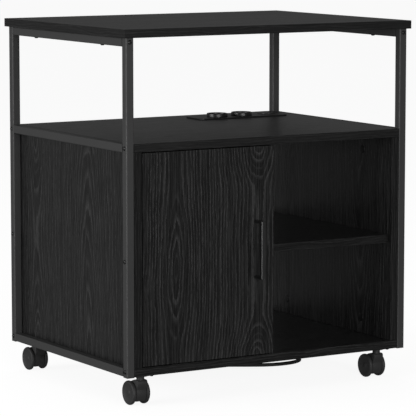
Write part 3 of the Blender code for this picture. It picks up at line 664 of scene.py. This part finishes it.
def make_plug():
    """Round plug: a grip with ribs, a long sleeve and two pins."""
    low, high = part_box("mains_plug")
    radius = (high.y - low.y) / 2
    length = high.x - low.x
    pin_length = 0.019
    body_length = length - pin_length
    profile = [(0.0, 0.0), (radius - 0.0030, 0.0), (radius - 0.0009, 0.0005), (radius, 0.0018)]
    profile += [(radius, 0.0110), (radius - 0.0008, 0.0135), (0.0150, 0.0185), (0.0118, 0.0250)]
    profile += [(0.0098, 0.0310)]
    ribs = 6
    for rib in range(ribs):
        start = 0.0340 + rib * 0.0042
        waist = 0.0088 - rib * 0.0007
        groove = waist - 0.0014
        profile += [(waist, start), (waist, start + 0.0024), (groove, start + 0.0028)]
        profile += [(groove, start + 0.0038)]
    profile += [(0.0042, body_length - 0.0010), (0.0038, body_length), (0.0, body_length)]
    body = lathe("plug_body", profile, 64)
    flute = lathe("plug_flute", [(0.0, 0.0025), (0.0022, 0.0025), (0.0022, 0.0135), (0.0, 0.0135)],
                  24)
    flutes = []
    flute_places = 24
    for number in range(flute_places):
        angle = 2 * math.pi * number / flute_places
        if min(abs(math.sin(angle)), abs(math.cos(angle))) < 0.2:
            continue
        reach = radius + 0.0016
        flutes.append(shifted(reach * math.cos(angle), reach * math.sin(angle)))
    body = combined("plug_body", body, [copied("plug_flutes", flute, flutes)], "DIFFERENCE")
    pin = [(0.0, -pin_length), (0.0014, -pin_length), (0.0021, -pin_length + 0.0006)]
    pin += [(0.0024, -pin_length + 0.0016), (0.0024, -0.0095), (0.0024, 0.002), (0.0, 0.002)]
    shank = lathe("plug_pin", pin, 32)
    sleeve_profile = [(0.0024, -0.0100), (0.00245, -0.0100), (0.0025, -0.0096), (0.0025, 0.0005)]
    sleeve_profile += [(0.0024, 0.0005)]
    sleeve = lathe("plug_pin_sleeve", sleeve_profile, 32)
    sides = [shifted(0.0, side * PIN_FROM_MIDDLE) for side in (-1, 1)]
    turn = Matrix.Rotation(math.pi / 2, 4, "Y")
    place = (low.x + pin_length, (low.y + high.y) / 2, (low.z + high.z) / 2)
    plug = piece("mains_plug_body", moved(body, turn), RUBBER, "carcass", place,
                 ["mains_plug"])
    pins = piece("mains_plug_pins", moved(copied("plug_pins", shank, sides), turn), STEEL, "carcass",
                 place)
    sleeves = piece("mains_plug_pin_sleeves", moved(copied("plug_sleeves", sleeve, sides), turn),
                    SOCKET_PLASTIC, "carcass", place)
    return [plug, pins, sleeves]


def make_strain_relief():
    """Tapered sleeve with ribs, where the lead leaves the station."""
    low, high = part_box("strain_relief")
    length = high.y - low.y
    flange = 0.0070
    profile = [(0.0, 0.0), (0.0049, 0.0), (0.0049, 0.0026), (flange, 0.0026), (flange, 0.0042)]
    profile += [(0.0061, 0.0048)]
    ribs = 7
    pitch = (length - 0.0095) / ribs
    for rib in range(ribs):
        start = 0.0062 + rib * pitch
        outside = 0.0060 - 0.0016 * rib / ribs
        groove = outside - 0.0007
        profile += [(outside, start), (outside, start + 0.55 * pitch)]
        profile += [(groove, start + 0.65 * pitch), (groove, start + 0.92 * pitch)]
    profile += [(0.0043, length - 0.0020), (0.0041, length), (0.0, length)]
    turn = Matrix.Rotation(-math.pi / 2, 4, "X")
    mesh = moved(lathe("strain_relief_sleeve", profile, 40), turn)
    place = ((low.x + high.x) / 2, low.y, (low.z + high.z) / 2)
    return piece("strain_relief_sleeve", mesh, RUBBER, "carcass", place,
                 ["strain_relief"])


def make_lead():
    cord, points = make_cord()
    tie = make_tie()
    plug = make_plug()
    relief = make_strain_relief()


make_lead()


# --- floor and light ---

ROOM_LEVEL = 0.16
FLOOR_HALF = 30.0


def make_floor():
    mesh = bpy.data.meshes.new("floor")
    bm = bmesh.new()
    bmesh.ops.create_grid(bm, x_segments=1, y_segments=1, size=FLOOR_HALF)
    bm.to_mesh(mesh)
    bm.free()
    finish = Finish("floor_white", Roughness=0.9, Specular_IOR_Level=0.0,
                    Emission_Strength=0.90)
    finish.grey(finish.noise(finish.place, 3.0), 0.28, 0.30)
    finish.shader.inputs["Emission Color"].default_value = (1.0, 1.0, 1.0, 1.0)
    mesh.materials.append(finish.material)
    floor = bpy.data.objects.new("floor", mesh)
    floor.visible_diffuse = False
    floor.visible_glossy = False
    bpy.context.scene.collection.objects.link(floor)


def make_softbox(name, place, target, width, height, power):
    light = bpy.data.lights.new(name, "AREA")
    light.shape = "RECTANGLE"
    light.size, light.size_y = width, height
    light.energy = power
    lamp = bpy.data.objects.new(name, light)
    lamp.location = place
    lamp.rotation_euler = (Vector(target) - Vector(place)).to_track_quat("-Z", "Y").to_euler()
    bpy.context.scene.collection.objects.link(lamp)


def make_light():
    """White behind the object, a dim room round it, and three softboxes."""
    world = bpy.data.worlds.new("studio")
    world.use_nodes = True
    tree = world.node_tree
    path = tree.nodes.new("ShaderNodeLightPath")
    level = tree.nodes.new("ShaderNodeMapRange")
    level.inputs["To Min"].default_value = ROOM_LEVEL
    level.inputs["To Max"].default_value = 1.0
    tree.links.new(path.outputs["Is Camera Ray"], level.inputs["Value"])
    tree.nodes["Background"].inputs["Color"].default_value = (1.0, 1.0, 1.0, 1.0)
    tree.links.new(level.outputs["Result"], tree.nodes["Background"].inputs["Strength"])
    bpy.context.scene.world = world
    bpy.context.scene.view_settings.view_transform = "Standard"
    centre = (0.0, 0.0, 0.3)
    make_softbox("left_softbox", (-4.8, 0.4, 1.0), centre, 3.2, 1.8, 117.0)
    make_softbox("front_softbox", (-1.2, -5.0, 1.0), centre, 3.2, 1.8, 110.0)
    make_softbox("top_softbox", (0.2, 0.6, 3.5), centre, 2.4, 2.0, 8.0)


make_floor()
make_light()


# --- frame fittings ---

def button_head(name, radius=0.0038, height=0.0021):
    """Button head screw with a hexagonal recess; local Z points out of it."""
    recess = hexagon(0.00125)
    profile = [(0.0, height - 0.0013), (recess, height - 0.0013), (recess, height)]
    profile += [(0.0019, height), (0.0026, height - 0.00022), (0.0032, height - 0.0007)]
    profile += [(radius - 0.0001, 0.0007), (radius, 0.0003), (radius, 0.0), (0.0, 0.0)]
    return lathe(name, profile)


def cross_head(name, radius, height):
    """Pan head screw with a cross recess; local Z points out of it."""
    recess = cross(radius * 0.50, radius * 0.12)
    profile = [(0.0, height * 0.25), (recess, height * 0.35), (recess, height)]
    profile += [(radius * 0.62, height * 0.97), (radius * 0.85, height * 0.75)]
    profile += [(radius * 0.97, height * 0.4), (radius, 0.0), (0.0, 0.0)]
    return lathe(name, profile, 72)


SIDE_SCREW_HEIGHTS = (0.0665, 0.2605, 0.4575)
FRONT_SCREW_HEIGHT = 0.6405
RAIL_SCREW_FROM_END = 0.097
POST_HALF = 0.0075


def make_frame_screws():
    """Screws through the posts into the boards, and through the upper rails into the top."""
    matrices = []
    for side in (-1, 1):
        for end in (-1, 1):
            post = middle(f"{'front' if end < 0 else 'rear'}_{'left' if side < 0 else 'right'}_post")
            for height in SIDE_SCREW_HEIGHTS:
                place = (post.x + side * POST_HALF, post.y, height)
                matrices.append(facing(place, (side, 0, 0), 0.4 * height * 40))
            place = (post.x, post.y + end * POST_HALF, FRONT_SCREW_HEIGHT)
            matrices.append(facing(place, (0, end, 0), 0.3 + side))
    for side in ("left", "right"):
        low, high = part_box(f"upper_{side}_rail")
        for y in (FRONT + RAIL_SCREW_FROM_END, REAR - RAIL_SCREW_FROM_END):
            matrices.append(facing(((low.x + high.x) / 2, y, low.z), (0, 0, -1), y * 9))
    piece("frame_screws", copied("frame_screws", button_head("button_head"), matrices),
          SCREW_BLACK, "carcass")


def make_tube_caps():
    """Plastic caps in the feet of the posts."""
    caps = []
    for corner in CORNERS:
        low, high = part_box(f"{corner}_post")
        caps.append(soft_box("cap", (low.x + 0.0002, low.y + 0.0002, low.z - 0.0012),
                             (high.x - 0.0002, high.y - 0.0002, low.z), 0.0005))
        caps.append(soft_box("plug", (low.x + 0.0014, low.y + 0.0014, low.z - 0.0004),
                             (high.x - 0.0014, high.y - 0.0014, low.z + 0.010), 0.0005))
    piece("tube_end_caps", merged("tube_end_caps", caps), CABINET_PLASTIC, "carcass")


CAM_CAP_RADIUS = 0.0078
CAM_FROM_BOARD = 0.030
CAM_FROM_FRONT, CAM_FROM_REAR = 0.097, 0.092


def make_cam_caps():
    """Covers of the cam locks, on the inner faces of the upright boards."""
    profile = [(0.0, 0.0009), (0.0058, 0.0009), (0.0070, 0.00075)]
    profile += [(CAM_CAP_RADIUS - 0.0002, 0.0004), (CAM_CAP_RADIUS, 0.0), (0.0, 0.0)]
    cap = lathe("cam_cap", profile)
    matrices = []
    for node, side in (("right_side_panel", -1), ("left_side_panel", 1), ("centre_divider", -1)):
        low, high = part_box(node)
        x = low.x if side < 0 else high.x
        for y in (FRONT + CAM_FROM_FRONT, REAR - CAM_FROM_REAR):
            for z in (low.z + CAM_FROM_BOARD, high.z - CAM_FROM_BOARD):
                matrices.append(facing((x, y, z), (side, 0, 0)))
    piece("cam_lock_caps", copied("cam_lock_caps", cap, matrices), CABINET_PLASTIC, "carcass")


make_frame_screws()
make_tube_caps()
make_cam_caps()


# --- door fittings ---

CUP_SCREW_REACH = 0.0245  # from the middle of a hinge, up and down
ARM_PLATE_SCREW_REACH = 0.0185
ARM_PLATE_SCREW_FROM_FRONT = 0.050
ARM_SCREWS_FROM_FRONT = (0.036, 0.062)
PAD_FROM_EDGE = 0.0055
PAD_FROM_CORNER = 0.03


def make_door_fittings():
    small = cross_head("small_cross", 0.0031, 0.0017)
    on_door, on_panel = [], []
    for level in ("lower", "upper"):
        cup_low, cup_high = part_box(f"{level}_hinge_cup")
        centre = (cup_low + cup_high) / 2
        for side in (-1, 1):
            place = (centre.x, cup_high.y, centre.z + side * CUP_SCREW_REACH)
            on_door.append(facing(place, (0, 1, 0), 0.5 + side))
        arm_low, arm_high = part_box(f"{level}_hinge_arm")
        height = (arm_low.z + arm_high.z) / 2
        for side in (-1, 1):
            place = (arm_low.x + 0.0020, FRONT + ARM_PLATE_SCREW_FROM_FRONT,
                     height + side * ARM_PLATE_SCREW_REACH)
            on_panel.append(facing(place, (1, 0, 0), 0.9 + side))
        for reach in ARM_SCREWS_FROM_FRONT:
            on_panel.append(facing((arm_high.x, FRONT + reach, height), (1, 0, 0), reach * 30))
    piece("hinge_cup_screws", copied("hinge_cup_screws", small, on_door), STEEL, "door")
    piece("hinge_arm_screws", copied("hinge_arm_screws", small, on_panel), STEEL, "carcass")

    pad = [(0.0, 0.0014), (0.0026, 0.0013), (0.0036, 0.0009), (0.0040, 0.0), (0.0, 0.0)]
    door_low, door_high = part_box("door")
    places = [
        facing((door_high.x - PAD_FROM_EDGE, door_high.y, z), (0, 1, 0))
        for z in (door_low.z + PAD_FROM_CORNER, door_high.z - PAD_FROM_CORNER)
    ]
    piece("door_pads", copied("door_pads", lathe("door_pad", pad), places), RUBBER, "door")


make_door_fittings()


# --- charging station ---

SOCKET_RADIUS = 0.020
SOCKET_RECESS = 0.0175
SOCKET_RISE = 0.0065
SOCKET_FLOOR = -0.0090
USB_FROM_MIDDLE = 0.0072
USB_HALF_X, USB_HALF_Y, USB_WALL = 0.00285, 0.00625, 0.00035


def strip(name, points, width, thickness):
    """A bent strip of sheet metal in the local XZ plane, with its width along Y."""
    bm = bmesh.new()
    sides = []
    for number, point in enumerate(points):
        before = points[max(number - 1, 0)]
        after = points[min(number + 1, len(points) - 1)]
        run = Vector((after[0] - before[0], after[1] - before[1])).normalized()
        out = Vector((-run.y, run.x)) * thickness / 2
        section = []
        for sign, y in ((1, -width / 2), (1, width / 2), (-1, width / 2), (-1, -width / 2)):
            section.append(bm.verts.new((point[0] + sign * out.x, y, point[1] + sign * out.y)))
        sides.append(section)
    for one, two in zip(sides, sides[1:]):
        for i in range(4):
            j = (i + 1) % 4
            bm.faces.new((one[i], one[j], two[j], two[i]))
    bm.faces.new(sides[0])
    bm.faces.new(sides[-1])
    return finished_mesh(bm, name)


def socket_body():
    """Round insert: raised lip, deep recess and holes for the pins."""
    neck = SOCKET_RADIUS - 0.0012
    rise, floor, recess = SOCKET_RISE, SOCKET_FLOOR, SOCKET_RECESS
    profile = [(0.0, floor), (recess - 0.0008, floor), (recess - 0.0002, floor + 0.0004)]
    profile += [(recess, floor + 0.0012), (recess, rise - 0.0010)]
    profile += [(recess + 0.0003, rise - 0.0003), (recess + 0.0009, rise)]
    profile += [(SOCKET_RADIUS - 0.0010, rise), (SOCKET_RADIUS - 0.0003, rise - 0.0003)]
    profile += [(SOCKET_RADIUS, rise - 0.0010), (SOCKET_RADIUS, 0.0003), (neck, 0.0003)]
    profile += [(neck, floor - 0.0025), (0.0, floor - 0.0025)]
    body = lathe("socket_body", profile, 72)
    hole = lathe("pin_hole", [(0.0, floor + 0.002), (0.0027, floor + 0.002),
                              (0.0027, floor - 0.004), (0.0, floor - 0.004)], 24)
    holes = copied("pin_holes", hole, [shifted(side * PIN_FROM_MIDDLE) for side in (-1, 1)])
    return combined("socket_body", body, [holes], "DIFFERENCE")


def make_sockets():
    body = socket_body()
    wall = SOCKET_RECESS - 0.0006
    bend = [(wall - 0.0045, SOCKET_FLOOR + 0.0004), (wall - 0.0014, SOCKET_FLOOR + 0.0006)]
    bend += [(wall - 0.0009, -0.006), (wall - 0.0016, -0.003)]
    bend += [(wall - 0.0022, -0.0008), (wall - 0.0014, 0.0006)]
    clip = strip("earth_clip", bend, 0.0042, 0.0005)
    turns = [Matrix.Rotation(math.radians(angle), 4, "Z") for angle in (90, 270)]
    guide = soft_box("guide", (SOCKET_RECESS - 0.0016, -0.0021, SOCKET_FLOOR - 0.0005),
                     (SOCKET_RECESS + 0.0006, 0.0021, SOCKET_RISE - 0.0015), 0.0004)
    shutter = soft_box("shutter", (-0.0125, -0.0031, SOCKET_FLOOR - 0.0022),
                       (0.0125, 0.0031, SOCKET_FLOOR - 0.0012), 0.0003)
    guide_turns = [Matrix.Rotation(math.radians(angle), 4, "Z") for angle in (0, 180)]
    extras = merged("socket_trim", [copied("guides", guide, guide_turns), shutter])
    screw = moved(cross_head("socket_screw", 0.0022, 0.0007), shifted(0.0, 0.0, SOCKET_FLOOR))
    clips = merged("socket_metal", [copied("clips", clip, turns), screw])
    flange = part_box("station_housing")[1].z
    for side in ("left", "right"):
        centre = middle(f"{side}_socket")
        place = (centre.x, centre.y, flange)
        piece(f"{side}_socket_body", body, SOCKET_PLASTIC, "carcass", place,
              [f"{side}_socket"])
        piece(f"{side}_socket_trim", extras, SOCKET_PLASTIC, "carcass", place)
        piece(f"{side}_socket_contacts", clips, CONTACT, "carcass", place)


def make_usb_ports():
    """Metal mouth and tongue of each charging port."""
    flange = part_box("station_housing")[1].z
    centre = middle("usb_module")
    shells, tongues = [], []
    for side in (-1, 1):
        x = centre.x + side * USB_FROM_MIDDLE
        half_x, half_y, wall = USB_HALF_X, USB_HALF_Y, USB_WALL
        outer = soft_box("shell", (x - half_x, centre.y - half_y, flange - 0.0070),
                         (x + half_x, centre.y + half_y, flange + 0.0008), 0.0003)
        inner = soft_box("mouth", (x - half_x + wall, centre.y - half_y + wall, flange - 0.0066),
                         (x + half_x - wall, centre.y + half_y - wall, flange + 0.0030), 0.0002)
        shells.append(combined("shell", outer, [inner], "DIFFERENCE"))
        tongues.append(soft_box("tongue", (x - 0.0018, centre.y - 0.0053, flange - 0.0068),
                                (x - 0.0001, centre.y + 0.0053, flange - 0.0006), 0.0003))
    piece("usb_port_shells", merged("usb_port_shells", shells), STEEL, "carcass")
    piece("usb_port_tongues", merged("usb_port_tongues", tongues), SOCKET_PLASTIC, "carcass")


make_sockets()
make_usb_ports()


# --- casters ---

WHEEL_RADIUS = 0.02175
WHEEL_INSIDE = 0.0104  # inner face of a wheel from the caster's middle
HUB_HALF = 0.0100  # half the width of the body between the wheels
HUB_RADIUS = 0.0205
HUB_SHOULDER = 0.0464  # top of the body round its neck, from the floor
PLATE_SCREW_REACH = 0.0145


def wheel_mesh(name, side):
    """Thin wheel with a crowned tread, a dished outer face and a low hub cap."""
    rim = WHEEL_RADIUS
    profile = [(0.0, 0.0059), (0.0022, 0.0058), (0.0036, 0.0055), (0.0044, 0.0050)]
    profile += [(0.0058, 0.0048), (0.0090, 0.0048), (0.0125, 0.0051), (0.0150, 0.0057)]
    profile += [(0.0168, 0.0064), (0.0180, 0.0068), (0.0189, 0.0070), (0.0198, 0.0068)]
    profile += [(0.0206, 0.0064), (0.0212, 0.0056), (0.0216, 0.0046), (rim, 0.0038)]
    profile += [(rim, 0.0030), (0.0216, 0.0020), (0.0212, 0.0011), (0.0204, 0.0003)]
    profile += [(0.0193, 0.0), (0.0033, 0.0), (0.0033, 0.0040), (0.0, 0.0040)]
    mesh = moved(lathe(name, profile, 72), shifted(0.0, 0.0, WHEEL_INSIDE))
    return moved(mesh, Matrix.Rotation(side * math.pi / 2, 4, "Y"))


def arc(centre, radius, start, end, steps):
    points = []
    for step in range(steps + 1):
        angle = math.radians(start + (end - start) * step / steps)
        points.append((centre[0] + radius * math.cos(angle), centre[1] + radius * math.sin(angle)))
    return points


def hood_mesh(trail, top):
    """Swivelling body of a caster: the drum between its wheels, the shoulder, the neck and the pin.
    Local Y, Z are the wheel plane, with the axle on the +Y side; the origin is on the floor under
    the swivel."""
    axle = (trail, WHEEL_RADIUS)
    shoulder = HUB_SHOULDER
    drum = [(-0.0067, 0.0345), (-0.0082, 0.0385), (-0.0084, shoulder - 0.0030)]
    drum += [(-0.0072, shoulder - 0.0010), (-0.0050, shoulder)]
    drum += [(0.0050, shoulder), (0.0105, shoulder - 0.0016)]
    drum += arc(axle, HUB_RADIUS, 84, -44, 42) + arc(axle, HUB_RADIUS, 224, 160, 20)
    upright = Matrix(((0, 0, 1, 0), (1, 0, 0, 0), (0, 1, 0, 0), (0, 0, 0, 1)))
    drum_mesh = moved(prism("drum", drum[::-1], -HUB_HALF, HUB_HALF, 0.0009), upright)
    neck = [(0.0, top), (0.0067, top), (0.0070, top - 0.0003), (0.0070, shoulder + 0.0008)]
    neck += [(0.0076, shoulder - 0.0005), (0.0, shoulder - 0.0005)]
    pin = lathe("pin", [(0.0, top + 0.0038), (0.0036, top + 0.0038), (0.0038, top + 0.0034),
                        (0.0038, top - 0.002), (0.0, top - 0.002)], 24)
    axle_hole = lathe("axle_hole", [(0.0, 0.02), (0.0036, 0.02), (0.0036, -0.02), (0.0, -0.02)], 24)
    moved(axle_hole, shifted(0.0, axle[0], axle[1]) @ Matrix.Rotation(math.pi / 2, 4, "Y"))
    joined = combined("caster_hood", drum_mesh, [lathe("neck", neck, 48), pin], "UNION")
    return combined("caster_hood", joined, [axle_hole], "DIFFERENCE")


def make_casters():
    wheels = {"left": wheel_mesh("caster_wheel_left", -1),
              "right": wheel_mesh("caster_wheel_right", 1)}
    plate_low, plate_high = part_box("rear_left_caster_plate")
    trail = middle("rear_left_caster_axle").y - middle("rear_left_caster_plate").y
    hood = hood_mesh(trail, plate_low.z - 0.0003)
    screw = cross_head("plate_screw", 0.0032, 0.0018)
    heads = []
    for corner in CORNERS:
        plate = middle(f"{corner}_caster_plate")
        axle = middle(f"{corner}_caster_axle")
        piece(f"{corner}_hood_shell", hood, CASTER_PLASTIC, f"{corner}_swivel",
              (plate.x, plate.y, 0.0), [f"{corner}_caster_hood"])
        for side, wheel in wheels.items():
            piece(f"{corner}_{side}_wheel_disc", wheel, CASTER_PLASTIC, f"{corner}_{side}_wheel",
                  axle, [f"{corner}_caster_{side}_wheel"])
        for sx in (-1, 1):
            for sy in (-1, 1):
                place = (plate.x + sx * PLATE_SCREW_REACH, plate.y + sy * PLATE_SCREW_REACH,
                         plate_high.z - 0.0020)
                heads.append(facing(place, (0, 0, -1), sx + 2 * sy + plate.x))
    piece("caster_plate_screws", copied("caster_plate_screws", screw, heads), ZINC, "carcass")


make_casters()
